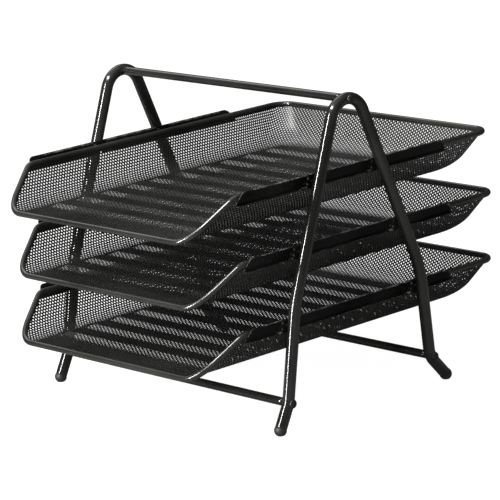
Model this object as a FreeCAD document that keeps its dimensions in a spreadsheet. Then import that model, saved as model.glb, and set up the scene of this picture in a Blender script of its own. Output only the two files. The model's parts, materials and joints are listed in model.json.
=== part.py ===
import FreeCAD, Part
import os, math
import Sketcher

# Three-tier mesh letter tray on two bent-tube side frames.  Millimetres, +Z up, front towards -Y.
# Sizes are given with x = 0 on the mirror plane, y = 0 at the front rim of the top tray
# and z = 0 on the desk.  Every piece is then shifted by -y_mid, which puts the origin
# at the middle of the footprint.

doc = FreeCAD.newDocument("letter_tray")
Vector = FreeCAD.Vector
Rotation = FreeCAD.Rotation
Constraint = Sketcher.Constraint
sheet = doc.addObject("Spreadsheet::Sheet", "dims")


# ---------------------------------------------------------------- lengths bound to the sheet
class Length:
    """A number together with the spreadsheet expression that gives it."""

    def __init__(self, value, formula):
        self.value, self.formula = float(value), formula

    def combine(self, sign, other, value):
        return Length(value, "(%s %s %s)" % (self.formula, sign, other.formula))

    def __add__(self, other):
        other = as_length(other)
        return self.combine("+", other, self.value + other.value)

    def __sub__(self, other):
        other = as_length(other)
        return self.combine("-", other, self.value - other.value)

    def __mul__(self, other):
        other = as_length(other)
        return self.combine("*", other, self.value * other.value)

    def __truediv__(self, other):
        other = as_length(other)
        return self.combine("/", other, self.value / other.value)

    def __neg__(self):
        return Length(-self.value, "(-1 * %s)" % self.formula)


def as_length(size):
    if isinstance(size, Length):
        return size
    return Length(size, repr(round(float(size), 6)))


def number(size):
    return as_length(size).value


sheet_aliases = []


def param(alias, value, note):
    """Adds a row to the sheet and returns its value as a Length."""
    sheet_aliases.append(alias)
    row = len(sheet_aliases)
    sheet.set("A%d" % row, note)
    sheet.set("B%d" % row, repr(float(value)))
    sheet.setAlias("B%d" % row, alias)
    return Length(value, "dims." + alias)


# ---------------------------------------------------------------- driving dimensions
y_mid = param("y_mid", 178.75, "footprint middle, behind the top tray's front rim")

# side frames
leg_radius = param("leg_radius", 5.2, "side frame tube, outer radius")
leg_bore = param("leg_bore", 4.2, "side frame tube, inner radius")
leg_x = param("leg_x", 142.65, "side frame tube centre from the mirror plane")
apex_y = param("apex_y", 165.5, "apex bend centre, y")
apex_z = param("apex_z", 250.0, "apex bend centre, height")
apex_bend = param("apex_bend", 20.0, "apex bend radius on the centreline")
knee_front_y = param("knee_front_y", 91.8, "front knee, y")
knee_rear_y = param("knee_rear_y", 244.3, "rear knee, y")
knee_z = param("knee_z", 106.0, "both knees, height")
knee_bend = param("knee_bend", 120.0, "knee bend radius")
ankle_front_y = param("ankle_front_y", 77.3, "front lower bend, y")
ankle_rear_y = param("ankle_rear_y", 250.8, "rear lower bend, y")
ankle_z = param("ankle_z", 25.5, "lower bends, height")
ankle_bend = param("ankle_bend", 20.0, "lower bend radius")
foot_front_y = param("foot_front_y", 66.3, "front tube end, y")
foot_rear_y = param("foot_rear_y", 270.0, "rear tube end, y")
foot_z = param("foot_z", 4.6, "tube ends, height of the cap's dome centre")

# crossbars, screws and foot caps
bar_radius = param("bar_radius", 3.6, "crossbar radius")
tap_radius = param("tap_radius", 2.0, "tapped hole radius in a crossbar end")
tap_depth = param("tap_depth", 14.0, "tapped hole depth")
bar_front_y = param("bar_front_y", 77.5, "front crossbar, y")
bar_rear_y = param("bar_rear_y", 251.9, "rear crossbar, y")
bar_low_z = param("bar_low_z", 25.7, "lower crossbars, height")
screw_radius = param("screw_radius", 1.95, "screw shank radius")
screw_hole = param("screw_hole", 2.1, "clearance hole radius through a tube")
screw_grip = param("screw_grip", 11.0, "screw thread length inside a crossbar")
head_radius = param("head_radius", 3.9, "screw head radius")
head_height = param("head_height", 2.3, "screw head height")
cap_radius = param("cap_radius", 5.5, "foot cap radius")
cap_stem = param("cap_stem", 9.0, "foot cap stem length inside the tube")

# trays: y from a tray's own front rim, z from its front rim's centre
TIERS = {  # tray: (y, z) of its own origin
    "top": (param("top_tray_y", 0.0, "top tray, y"),
            param("top_tray_z", 175.0, "top tray height")),
    "middle": (param("middle_tray_y", 4.2, "middle tray, y"),
               param("middle_tray_z", 118.4, "middle tray height")),
    "bottom": (param("bottom_tray_y", 0.4, "bottom tray, y"),
               param("bottom_tray_z", 58.7, "bottom tray height")),
}
rim_radius = param("rim_radius", 2.65, "rim wire radius")
rim_half = param("rim_half", 131.3, "rim wire centre from the mirror plane")
rim_height = param("rim_height", 32.1, "rim wire height over the tray floor")
rim_run = param("rim_run", 40.3, "front slope of the rim, run in y")
rim_back = param("rim_back", 353.3, "rim wire at the back, y")
rim_corner = param("rim_corner", 16.0, "rim back corner radius")
rim_bend = param("rim_bend", 12.0, "rim bend radius at the top of the front slope")
floor_half = param("floor_half", 99.0, "flat floor half width")
wall_bend = param("wall_bend", 25.0, "bend radius from floor to wall")
wall_degrees = param("wall_degrees", 62.0, "wall angle above the floor, degrees")
pan_skin = param("pan_skin", 0.6, "pan thickness")

# side plates and hook studs
plate_skin = param("plate_skin", 0.8, "side plate thickness")
plate_top_x = param("plate_top_x", 137.3, "plate outer face at its top edge")
plate_top_z = param("plate_top_z", 37.1, "plate top edge height")
plate_low_x = param("plate_low_x", 132.21, "plate outer face at its bottom edge")
plate_low_z = param("plate_low_z", 25.7, "plate bottom edge height")
plate_lip = param("plate_lip", 1.9, "plate bottom lip width")
plate_front_low = param("plate_front_low", 41.2, "plate front end at the bottom")
plate_front_top = param("plate_front_top", 46.2, "plate front end at the top")
plate_rear_top = param("plate_rear_top", 285.5, "plate rear end at the top")
plate_rear_low = param("plate_rear_low", 293.5, "plate rear end at the bottom")
pad_half = param("pad_half", 8.0, "half length of a pressed pad")
stud_radius = param("stud_radius", 1.5, "hook stud shank radius")
stud_head = param("stud_head", 2.75, "hook stud head radius")
stud_z = param("stud_z", 30.2, "hook stud height over the tray floor")
slot_half = param("slot_half", 1.7, "hook slot half width")

# fixed sizes
COPE_GAP = 0.02              # clearance between a crossbar's coped end and the tube
TAP_OVERRUN = 6.0            # how far a tap cutter reaches past the tube's inner side
SOCKET_HALF_FLATS = 1.25     # screw socket, centre to flat
SOCKET_DEPTH = 1.5
STUD_END_GAP = 0.35          # stud's outer end beyond the bore's edge
STUD_HEAD_GAP = 0.3          # between a stud's head and the plate's pad
STUD_HEAD_HEIGHT = 1.2
PAN_FRONT_Y = -14.0          # front of the pan before its sloping front is cut
PAN_OVERSHOOT = 4.0          # inner form's height above the rim
PAN_CORNERS = (26.0, 26.0, 24.0, 21.0)  # back corner radii from the floor up to the wall
CUT_THROUGH = 400.0          # pocket length that passes right through a tray piece

SIDES = {"left": -1, "right": 1}
LEGS = {  # leg: (y, z) of its knee, ankle and foot
    "front": ((knee_front_y, knee_z), (ankle_front_y, ankle_z), (foot_front_y, foot_z)),
    "rear": ((knee_rear_y, knee_z), (ankle_rear_y, ankle_z), (foot_rear_y, foot_z)),
}
BARS = {  # crossbar: (y, z) of its axis
    "top": (apex_y, apex_z + apex_bend),
    "front": (bar_front_y, bar_low_z),
    "rear": (bar_rear_y, bar_low_z),
}


def leg_points(leg):
    """Knee, ankle and foot in the frame's plane: Vector x is the frame's y, Vector y its z."""
    return [Vector(y.value, z.value, 0) for y, z in LEGS[leg]]


def upper_run(leg):
    """Angle and length of the straight from the knee to its tangent on the apex bend."""
    knee = leg_points(leg)[0]
    reach = Vector(apex_y.value, apex_z.value, 0) - knee
    distance = reach.Length
    turn = math.asin(apex_bend.value / distance)
    angle = math.atan2(reach.y, reach.x) + (turn if leg == "front" else -turn)
    return angle, math.sqrt(distance ** 2 - apex_bend.value ** 2)


def leg_y_at(height, leg):
    """y of a leg's straight centreline at a height, with the bends at its corners left out."""
    knee, ankle, _ = leg_points(leg)
    if height < knee.y:
        return knee.x + (height - knee.y) / (ankle.y - knee.y) * (ankle.x - knee.x)
    return knee.x + (height - knee.y) / math.tan(upper_run(leg)[0])


# each tray's hook studs sit on the leg centrelines; y in the tray
stud_y = {}
for tier, (tray_y, tray_z) in TIERS.items():
    stud_y[tier] = {
        leg: param(
            "stud_%s_%s" % (leg, tier),
            round(leg_y_at(tray_z.value + stud_z.value, leg) - tray_y.value, 3),
            "%s hook studs of the %s tray, y in the tray" % (leg, tier),
        )
        for leg in LEGS
    }
doc.recompute()


# ---------------------------------------------------------------- modelling helpers
def put(obj, base, rotation=Rotation()):
    """Places an object and binds each Length in its base point."""
    obj.Placement = FreeCAD.Placement(Vector(*[number(size) for size in base]), rotation)
    for axis, size in zip("xyz", base):
        if isinstance(size, Length):
            obj.setExpression("Placement.Base." + axis, size.formula)


def put_in_tier(obj, tier):
    tray_y, tray_z = TIERS[tier]
    put(obj, (0, tray_y - y_mid, tray_z))


def new_body(name):
    return doc.addObject("PartDesign::Body", name)


def new_sketch(body, name, role, offset=None):
    """Sketch on a body's origin plane; on XZ_Plane an offset of -q puts it at y = q."""
    sketch = body.newObject("Sketcher::SketchObject", name)
    plane = next(f for f in body.Origin.OriginFeatures if f.Role == role)
    sketch.AttachmentSupport = [(plane, "")]
    sketch.MapMode = "FlatFace"
    if offset is not None:
        sketch.AttachmentOffset = FreeCAD.Placement(Vector(0, 0, offset.value), Rotation())
        sketch.setExpression("AttachmentOffset.Base.z", offset.formula)
    return sketch


def dimension(sketch, size, kind, *geometry):
    """Adds a dimensional constraint bound to a size."""
    size = as_length(size)
    index = sketch.addConstraint(Constraint(kind, *geometry, size.value))
    name = "c%d" % index
    sketch.renameConstraint(index, name)
    sketch.setExpression("Constraints." + name, size.formula)


def pin(sketch, geometry, point, x, y):
    """Fixes a sketch point by its distances from the origin, or onto an axis where one is 0."""
    for kind, size, axis in (("DistanceX", x, -2), ("DistanceY", y, -1)):
        if abs(number(size)) < 1e-7:
            sketch.addConstraint(Constraint("PointOnObject", geometry, point, axis))
        else:
            dimension(sketch, size, kind, -1, 1, geometry, point)


def line(start, end):
    return Part.LineSegment(start, end)


def circular_arc(centre, radius, start, end):
    return Part.ArcOfCircle(Part.Circle(centre, Vector(0, 0, 1), radius), start, end)


def polygon(sketch, points):
    first = sketch.GeometryCount
    count = len(points)
    corners = [Vector(number(x), number(y), 0) for x, y in points]
    for i in range(count):
        sketch.addGeometry(line(corners[i], corners[(i + 1) % count]), False)
    for i in range(count):
        following = first + (i + 1) % count
        sketch.addConstraint(Constraint("Coincident", first + i, 2, following, 1))
    for i, (x, y) in enumerate(points):
        pin(sketch, first + i, 1, x, y)


def circle(sketch, x, y, radius):
    shape = Part.Circle(Vector(number(x), number(y), 0), Vector(0, 0, 1), radius.value)
    geometry = sketch.addGeometry(shape, False)
    pin(sketch, geometry, 3, x, y)
    dimension(sketch, radius, "Radius", geometry)


def extrude(kind, body, sketch, length, name, reverse=False, mid=False):
    feature = body.newObject("PartDesign::" + kind, name)
    feature.Profile = sketch
    feature.Length = number(length)
    if isinstance(length, Length):
        feature.setExpression("Length", length.formula)
    feature.Reversed = reverse
    feature.Midplane = mid


def pad(*args, **options):
    extrude("Pad", *args, **options)


def pocket(*args, **options):
    extrude("Pocket", *args, **options)


def cylinder(name, radius, length, base, rotation):
    rod = doc.addObject("Part::Cylinder", name)
    for attribute, size in (("Radius", radius), ("Height", length)):
        setattr(rod, attribute, number(size))
        if isinstance(size, Length):
            rod.setExpression(attribute, size.formula)
    put(rod, base, rotation)
    return rod


def boolean(kind, name, base, tool):
    result = doc.addObject("Part::" + kind, name)
    result.Base, result.Tool = base, tool
    return result


def compound(name, links):
    group = doc.addObject("Part::Compound", name)
    group.Links = links
    return group


# turns +Z to +X and to -X, keyed by the sign of x
ALONG_X = {1: Rotation(Vector(0, 1, 0), 90), -1: Rotation(Vector(0, 1, 0), -90)}


# ---------------------------------------------------------------- side frames
def bend(before, corner, after, radius):
    """Arc that rounds a corner: its two ends, the arc, and which arc point is at each end."""
    back = (before - corner).normalize()
    ahead = (after - corner).normalize()
    half = back.getAngle(ahead) / 2
    setback = radius / math.tan(half)
    start = corner + back * setback
    end = corner + ahead * setback
    centre = corner + (back + ahead).normalize() * (radius / math.sin(half))
    start_angle = math.atan2(start.y - centre.y, start.x - centre.x)
    end_angle = math.atan2(end.y - centre.y, end.x - centre.x)
    sweep = (end_angle - start_angle) % (2 * math.pi)
    if sweep < math.pi:
        arc = circular_arc(centre, radius, start_angle, start_angle + sweep)
        return start, end, arc, 1, 2
    arc = circular_arc(centre, radius, end_angle, end_angle + 2 * math.pi - sweep)
    return start, end, arc, 2, 1


def leg_spine(sketch, leg):
    """Centreline of one leg from the top of the apex bend to the tube end."""
    knee, ankle, foot = leg_points(leg)
    centre = Vector(apex_y.value, apex_z.value, 0)
    angle, run = upper_run(leg)
    tangent = knee + Vector(math.cos(angle), math.sin(angle), 0) * run
    tangent_angle = math.atan2(tangent.y - centre.y, tangent.x - centre.x)
    if leg == "front":
        apex_arc = circular_arc(centre, apex_bend.value, math.pi / 2, tangent_angle)
        apex_start, apex_end = 1, 2
    else:
        apex_arc = circular_arc(centre, apex_bend.value, tangent_angle, math.pi / 2)
        apex_start, apex_end = 2, 1
    knee_top, knee_low, knee_arc, knee_start, knee_end = bend(
        tangent, knee, ankle, knee_bend.value)
    ankle_top, ankle_low, ankle_arc, ankle_start, ankle_end = bend(
        knee, ankle, foot, ankle_bend.value)

    apex_id = sketch.addGeometry(apex_arc, False)
    upper_id = sketch.addGeometry(line(tangent, knee_top), False)
    knee_id = sketch.addGeometry(knee_arc, False)
    lower_id = sketch.addGeometry(line(knee_low, ankle_top), False)
    ankle_id = sketch.addGeometry(ankle_arc, False)
    foot_id = sketch.addGeometry(line(ankle_low, foot), False)
    knee_corner = sketch.addGeometry(Part.Point(knee), True)
    ankle_corner = sketch.addGeometry(Part.Point(ankle), True)

    for joint in (
        (apex_id, apex_end, upper_id, 1),
        (upper_id, 2, knee_id, knee_start),
        (knee_id, knee_end, lower_id, 1),
        (lower_id, 2, ankle_id, ankle_start),
        (ankle_id, ankle_end, foot_id, 1),
    ):
        sketch.addConstraint(Constraint("Tangent", *joint))
    knee_place, ankle_place, foot_place = LEGS[leg]
    pin(sketch, apex_id, 3, apex_y, apex_z)
    dimension(sketch, apex_bend, "Radius", apex_id)
    sketch.addConstraint(Constraint("Vertical", apex_id, 3, apex_id, apex_start))
    pin(sketch, knee_corner, 1, *knee_place)
    pin(sketch, ankle_corner, 1, *ankle_place)
    for corner, straight in (
        (knee_corner, upper_id),
        (knee_corner, lower_id),
        (ankle_corner, lower_id),
        (ankle_corner, foot_id),
    ):
        sketch.addConstraint(Constraint("PointOnObject", corner, 1, straight))
    dimension(sketch, knee_bend, "Radius", knee_id)
    dimension(sketch, ankle_bend, "Radius", ankle_id)
    pin(sketch, foot_id, 2, *foot_place)


def sweep_legs(body, name, radii):
    """Sweeps a section of concentric circles down both legs from the apex."""
    section = new_sketch(body, name + "_section", "XZ_Plane", -apex_y)
    for radius in radii:
        circle(section, 0.0, apex_z + apex_bend, radius)
    for leg in LEGS:
        spine = new_sketch(body, "%s_%s_line" % (name, leg), "YZ_Plane")
        leg_spine(spine, leg)
        doc.recompute()
        pipe = body.newObject("PartDesign::AdditivePipe", "%s_%s_leg" % (name, leg))
        pipe.Profile = section
        pipe.Spine = (spine, ["Edge%d" % (i + 1) for i in range(6)])
        doc.recompute()


def drill_frame(body, name, side):
    screw_holes = new_sketch(body, name + "_screw_holes", "YZ_Plane")
    for bar_y, bar_z in BARS.values():
        circle(screw_holes, bar_y, bar_z, screw_hole)
    pocket(body, screw_holes, leg_radius * 3, name + "_drill", mid=True)
    stud_holes = new_sketch(body, name + "_stud_holes", "YZ_Plane")
    for tier, (tray_y, tray_z) in TIERS.items():
        for y in stud_y[tier].values():
            circle(stud_holes, y + tray_y, tray_z + stud_z, stud_radius)
    # only the tube wall on the tray side is drilled
    pocket(body, stud_holes, leg_radius * 1.5, name + "_stud_drill", reverse=(side < 0))
    doc.recompute()


def place_frame(body, side):
    put(body, (leg_x * side, -y_mid, 0))
    doc.recompute()
    return body


def side_frame(name, side):
    body = new_body(name)
    sweep_legs(body, name, (leg_radius, leg_bore))
    drill_frame(body, name, side)
    return place_frame(body, side)


def frame_envelope(name, side):
    """Solid, slightly larger frame that copes the crossbar ends."""
    body = new_body(name)
    sweep_legs(body, name, (leg_radius + COPE_GAP,))
    return place_frame(body, side)


# ---------------------------------------------------------------- crossbars and screws
def crossbar(tag, envelopes):
    """Rod between the frames, coped to the tubes, with a tapped hole in each end."""
    bar_y, bar_z = BARS[tag]
    rod = cylinder(tag + "_bar_rod", bar_radius, leg_x * 2,
                   (-leg_x, bar_y - y_mid, bar_z), ALONG_X[1])
    tap_start = leg_x - leg_radius - tap_depth
    taps = [
        cylinder("%s_tap_%s" % (tag, side_name), tap_radius, tap_depth + TAP_OVERRUN,
                 (tap_start * side, bar_y - y_mid, bar_z), ALONG_X[side])
        for side_name, side in SIDES.items()
    ]
    tools = doc.addObject("Part::MultiFuse", tag + "_bar_tools")
    tools.Shapes = envelopes + taps
    cut = boolean("Cut", tag + "_crossbar_cut", rod, tools)
    doc.recompute()
    # only the largest solid of the coped rod is the bar
    bar = doc.addObject("Part::Feature", tag + "_crossbar")
    bar.Shape = max(cut.Shape.Solids, key=lambda solid: solid.Volume)
    return bar


def screw(name):
    """Button-head screw: flat of the head on x = 0, dome towards +X, shank towards -X."""
    body = new_body(name)
    half = new_sketch(body, name + "_half", "XZ_Plane")
    shank = leg_radius * 2 + screw_grip
    polygon(half, [  # x along the axis, distance from the axis
        (-shank, 0),
        (-shank, screw_radius),
        (0, screw_radius),
        (0, head_radius),
        (head_height * 0.45, head_radius * 0.93),
        (head_height * 0.85, head_radius * 0.66),
        (head_height, head_radius * 0.3),
        (head_height, 0),
    ])
    turn = body.newObject("PartDesign::Revolution", name + "_turn")
    turn.Profile = half
    turn.ReferenceAxis = (half, ["H_Axis"])
    turn.Angle = 360
    doc.recompute()
    hexagon = new_sketch(body, name + "_hex", "YZ_Plane", head_height)
    corner_radius = SOCKET_HALF_FLATS / math.cos(math.pi / 6)
    angles = [math.radians(30 + 60 * i) for i in range(6)]
    polygon(hexagon, [(corner_radius * math.cos(angle), corner_radius * math.sin(angle))
                      for angle in angles])
    pocket(body, hexagon, SOCKET_DEPTH, name + "_socket")
    doc.recompute()
    return body


def crossbar_screws(tag):
    """The two screws of a crossbar, their heads on the outer sides of the tubes."""
    bar_y, bar_z = BARS[tag]
    pair = []
    for side_name, side in SIDES.items():
        body = screw("%s_screw_%s" % (tag, side_name))
        facing = Rotation(Vector(0, 0, 1), 180 if side < 0 else 0)
        put(body, ((leg_x + leg_radius) * side, bar_y - y_mid, bar_z), facing)
        pair.append(body)
    return compound(tag + "_crossbar_screws", pair)


# ---------------------------------------------------------------- foot caps
def desk_block():
    """Block below z = 0 that flattens the caps where they stand."""
    block = doc.addObject("Part::Box", "desk_plane")
    block.Length, block.Width, block.Height = 400, 500, 30
    put(block, (-200, -250, -30))
    return block


def foot_cap(name, leg, side, desk):
    """Half dome over the tube end with a stem up the bore."""
    _, ankle, foot = leg_points(leg)
    along_tube = Rotation(Vector(0, 0, 1), Vector(0, ankle.x - foot.x, ankle.y - foot.y))
    foot_y, _ = LEGS[leg][2]
    base = (leg_x * side, foot_y - y_mid, foot_z)
    stem = cylinder(name + "_stem", leg_bore, cap_stem, base, along_tube)
    dome = doc.addObject("Part::Sphere", name + "_dome")
    dome.Radius = cap_radius.value
    dome.setExpression("Radius", cap_radius.formula)
    dome.Angle1, dome.Angle2, dome.Angle3 = -90, 0, 360
    put(dome, base, along_tube)
    whole = boolean("Fuse", name + "_whole", stem, dome)
    return boolean("Cut", name, whole, desk)


# ---------------------------------------------------------------- hook studs
def hook_studs(tier):
    """Four studs from the tube walls inwards, each with its head inside the plate's pad."""
    tray_y, tray_z = TIERS[tier]
    outer_end = leg_x - leg_bore - STUD_END_GAP
    head_face = plate_top_x - plate_skin - STUD_HEAD_GAP
    studs = []
    for side_name, side in SIDES.items():
        for leg, y_in_tray in stud_y[tier].items():
            name = "%s_stud_%s_%s" % (tier, side_name, leg)
            y, z = y_in_tray + tray_y - y_mid, tray_z + stud_z
            inwards = ALONG_X[-side]
            shank = cylinder(name + "_shank", stud_radius, outer_end - head_face,
                             (outer_end * side, y, z), inwards)
            head = cylinder(name + "_head", stud_head, STUD_HEAD_HEIGHT,
                            (head_face * side, y, z), inwards)
            studs.append(boolean("Fuse", name, shank, head))
    return compound(tier + "_tray_hook_studs", studs)


# ---------------------------------------------------------------- mesh pans
def pan_section(body, name, z, half_width, front, back, radius):
    """A rectangle with rounded back corners at height z."""
    sketch = new_sketch(body, name, "XY_Plane", z)
    w, y0, y1, r = [number(size) for size in (half_width, front, back, radius)]
    front_edge, right_edge, right_corner, back_edge, left_corner, left_edge = [
        sketch.addGeometry(shape, False)
        for shape in (
            line(Vector(-w, y0, 0), Vector(w, y0, 0)),
            line(Vector(w, y0, 0), Vector(w, y1 - r, 0)),
            circular_arc(Vector(w - r, y1 - r, 0), r, 0, math.pi / 2),
            line(Vector(w - r, y1, 0), Vector(-w + r, y1, 0)),
            circular_arc(Vector(-w + r, y1 - r, 0), r, math.pi / 2, math.pi),
            line(Vector(-w, y1 - r, 0), Vector(-w, y0, 0)),
        )
    ]
    for rule in (
        ("Coincident", front_edge, 2, right_edge, 1),
        ("Tangent", right_edge, 2, right_corner, 1),
        ("Tangent", right_corner, 2, back_edge, 1),
        ("Tangent", back_edge, 2, left_corner, 1),
        ("Tangent", left_corner, 2, left_edge, 1),
        ("Coincident", left_edge, 2, front_edge, 1),
        ("Horizontal", front_edge),
        ("Vertical", right_edge),
        ("Vertical", left_edge),
    ):
        sketch.addConstraint(Constraint(*rule))
    pin(sketch, front_edge, 2, half_width, front)
    dimension(sketch, -half_width, "DistanceX", -1, 1, front_edge, 1)
    dimension(sketch, back, "DistanceY", -1, 1, back_edge, 1)
    dimension(sketch, radius, "Radius", right_corner)
    dimension(sketch, radius, "Radius", left_corner)
    return sketch


def pan_form(body, name, outer):
    """Lofts the outer form, or cuts the inner one; each lies half the skin off mid surface."""
    wall_angle = math.radians(wall_degrees.value)
    offset = 0.5 if outer else -0.5
    back_extra = rim_back - rim_half
    sections = []
    for i, corner in enumerate(PAN_CORNERS):
        # the skin's offset runs along the bend's normal, outwards and down for the outer form
        angle = wall_angle * i / 3
        sine, cosine = math.sin(angle), math.cos(angle)
        skin_out = pan_skin * round(offset * sine, 6)
        half_width = floor_half + wall_bend * round(sine, 6) + skin_out
        z = wall_bend * round(1 - cosine, 6) - pan_skin * round(offset * cosine, 6)
        sections.append(pan_section(body, "%s_%d" % (name, i), z, half_width, PAN_FRONT_Y,
                                    half_width + back_extra, as_length(corner) + skin_out))
    # the inner form runs on above the rim, along the wall's slope
    rise = 0.0 if outer else PAN_OVERSHOOT
    half_width = (rim_half + pan_skin * round(offset / math.sin(wall_angle), 6)
                  + rise / math.tan(wall_angle))
    corner = rim_corner + pan_skin * offset + (0.0 if outer else 1.0)
    sections.append(pan_section(body, name + "_top", rim_height + rise, half_width,
                                PAN_FRONT_Y, half_width + back_extra, corner))
    doc.recompute()
    kind = "PartDesign::AdditiveLoft" if outer else "PartDesign::SubtractiveLoft"
    loft = body.newObject(kind, name + "_form")
    loft.Profile = sections[0]
    loft.Sections = sections[1:]
    loft.Ruled = True
    doc.recompute()


def mesh_pan(name, tier):
    """Pressed tray: flat floor, bends and sloping walls, open at the front."""
    body = new_body(name)
    pan_form(body, name + "_outer", True)
    pan_form(body, name + "_inner", False)
    front_cut = new_sketch(body, name + "_front_cut", "YZ_Plane")
    slope = rim_run / rim_height
    low, high, front = -6.0, 45.0, -40.0
    polygon(front_cut, [(front, low), (0.0, low), (0.0, 0.0), (slope * high, high),
                        (front, high)])
    pocket(body, front_cut, CUT_THROUGH, name + "_front_trim", mid=True)
    doc.recompute()
    put_in_tier(body, tier)
    doc.recompute()
    return body


# ---------------------------------------------------------------- rim wires
def rim_path():
    """Right half of the rim's centreline, from the middle of the front to the middle back."""
    wall_angle = math.radians(wall_degrees.value)
    height, half, back = rim_height.value, rim_half.value, rim_back.value
    slope = rim_run.value / height
    # floor-to-wall bend, raked back along the front slope
    steps = 8
    floor_bend = []
    for i in range(steps + 1):
        angle = wall_angle * i / steps
        z = wall_bend.value * (1 - math.cos(angle))
        x = floor_half.value + wall_bend.value * math.sin(angle)
        floor_bend.append(Vector(x, slope * z, z))
    # bend from the front slope into the level side
    top = Vector(half, slope * height, height)
    rising = (top - floor_bend[-1]).normalize()
    level = Vector(0, 1, 0)
    half_turn = rising.getAngle(level) / 2
    setback = rim_bend.value * math.tan(half_turn)
    bend_start, bend_end = top - rising * setback, top + level * setback
    inwards = (level - rising).normalize()
    bend_middle = top + inwards * (rim_bend.value / math.cos(half_turn) - rim_bend.value)

    floor_curve = Part.BSplineCurve()
    floor_curve.interpolate(floor_bend, InitialTangent=Vector(1, 0, 0), FinalTangent=rising)
    corner = rim_corner.value
    diagonal = corner * math.cos(math.pi / 4)
    corner_start = Vector(half, back - corner, height)
    corner_middle = Vector(half - corner + diagonal, back - corner + diagonal, height)
    corner_end = Vector(half - corner, back, height)
    curves = (
        line(Vector(0, 0, 0), floor_bend[0]),
        floor_curve,
        line(floor_bend[-1], bend_start),
        Part.Arc(bend_start, bend_middle, bend_end),
        line(bend_end, corner_start),
        Part.Arc(corner_start, corner_middle, corner_end),
        line(corner_end, Vector(0, back, height)),
    )
    return Part.Wire([curve.toShape() for curve in curves])


def rim_wire(name, tier):
    """The rim's path leaves any one plane, so it is swept here from the sheet's sizes."""
    section = Part.Circle(Vector(0, 0, 0), Vector(1, 0, 0), rim_radius.value)
    half = rim_path().makePipeShell([Part.Wire([section.toShape()])], True, False)
    # the sweep may come back as a shell or inside a compound
    if half.ShapeType != "Solid":
        half = Part.Solid(half) if half.ShapeType == "Shell" else half.Solids[0]
    whole = half.fuse(half.mirror(Vector(0, 0, 0), Vector(1, 0, 0))).removeSplitter()
    if whole.ShapeType == "Compound" and len(whole.Solids) == 1:
        whole = whole.Solids[0]
    rim = doc.addObject("Part::Feature", name)
    rim.Shape = whole
    put_in_tier(rim, tier)
    return rim


# ---------------------------------------------------------------- side plates
def side_plate(name, side, tier):
    """Sloping panel with a bottom lip, and a pressed upright pad with a hook slot per leg."""
    body = new_body(name)
    pad_centres = list(stud_y[tier].values())
    up = Vector(plate_top_x.value - plate_low_x.value, 0,
                plate_top_z.value - plate_low_z.value).normalize()
    # the skin's thickness along the panel's outward normal
    skin_x, skin_z = plate_skin * round(up.z, 6), plate_skin * round(-up.x, 6)

    def extrude_back(tag, front, length, points):
        """Pads an XZ outline towards +Y; its x runs outwards on this side."""
        sketch = new_sketch(body, name + tag, "XZ_Plane", -front)
        polygon(sketch, [(x * side, z) for x, z in points])
        pad(body, sketch, length, "%s%s_run" % (name, tag), reverse=True)

    def cut_across(tag, cut_tag, outlines):
        """Cuts YZ outlines right through in x."""
        sketch = new_sketch(body, name + tag, "YZ_Plane")
        for outline in outlines:
            polygon(sketch, outline)
        pocket(body, sketch, CUT_THROUGH, name + cut_tag, mid=True)

    lip_z = plate_low_z - skin_z
    extrude_back("_panel", plate_front_low, plate_rear_low - plate_front_low, [
        (plate_top_x, plate_top_z),
        (plate_top_x - skin_x, plate_top_z - skin_z),
        (plate_low_x - skin_x, lip_z),
        (plate_low_x + plate_lip, lip_z),
        (plate_low_x + plate_lip, lip_z + plate_skin),
        (plate_low_x + 0.35, lip_z + plate_skin),
    ])
    doc.recompute()

    # panel removed behind the pads
    low, high = plate_low_z - 3.0, plate_top_z + 3.0
    gaps = []
    for y in pad_centres:
        front, rear = y - pad_half + plate_skin, y + pad_half - plate_skin
        gaps.append([(front, low), (rear, low), (rear, high), (front, high)])
    cut_across("_pad_gaps", "_pad_cut", gaps)
    doc.recompute()

    # each pad, with a web at its front and rear end
    for j, y in enumerate(pad_centres):
        extrude_back("_pad%d" % j, y - pad_half, pad_half * 2, [
            (plate_top_x - plate_skin, plate_low_z),
            (plate_top_x, plate_low_z),
            (plate_top_x, plate_top_z),
            (plate_top_x - plate_skin, plate_top_z),
        ])
        for e, web_y in enumerate((y - pad_half, y + pad_half - plate_skin)):
            extrude_back("_web%d%d" % (j, e), web_y, plate_skin, [
                (plate_low_x - skin_x * 0.5, plate_low_z),
                (plate_top_x, plate_low_z),
                (plate_top_x, plate_top_z),
                (plate_top_x - skin_x * 0.5, plate_top_z),
            ])
    doc.recompute()

    # hook slots, open at the bottom, with chamfered top corners
    slot_top, chamfer = stud_z + stud_radius + 0.1, 0.7
    cut_across("_slots", "_slot_cut", [
        [
            (y - slot_half, low),
            (y + slot_half, low),
            (y + slot_half, slot_top - chamfer),
            (y + slot_half - chamfer, slot_top),
            (y - slot_half + chamfer, slot_top),
            (y - slot_half, slot_top - chamfer),
        ]
        for y in pad_centres
    ])

    # slanted ends
    low, high, beyond = plate_low_z - 1.0, plate_top_z + 2.0, 3.0
    cut_across("_ends", "_end_cut", [
        [
            (plate_front_low - beyond, low),
            (plate_front_low, low),
            (plate_front_top + 0.8, high),
            (plate_front_low - beyond, high),
        ],
        [
            (plate_rear_low, low),
            (plate_rear_low + beyond, low),
            (plate_rear_low + beyond, high),
            (plate_rear_top - 1.2, high),
        ],
    ])
    doc.recompute()
    put_in_tier(body, tier)
    doc.recompute()
    return body


# ---------------------------------------------------------------- assembly
pieces = {}  # label: object

for side_name, side in SIDES.items():
    label = side_name + "_side_frame"
    pieces[label] = side_frame(label, side)
envelopes = [frame_envelope(side_name + "_envelope", side) for side_name, side in SIDES.items()]

for tag in BARS:
    pieces[tag + "_crossbar"] = crossbar(tag, envelopes)
for tag in BARS:
    pieces[tag + "_crossbar_screws"] = crossbar_screws(tag)
doc.recompute()

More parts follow.
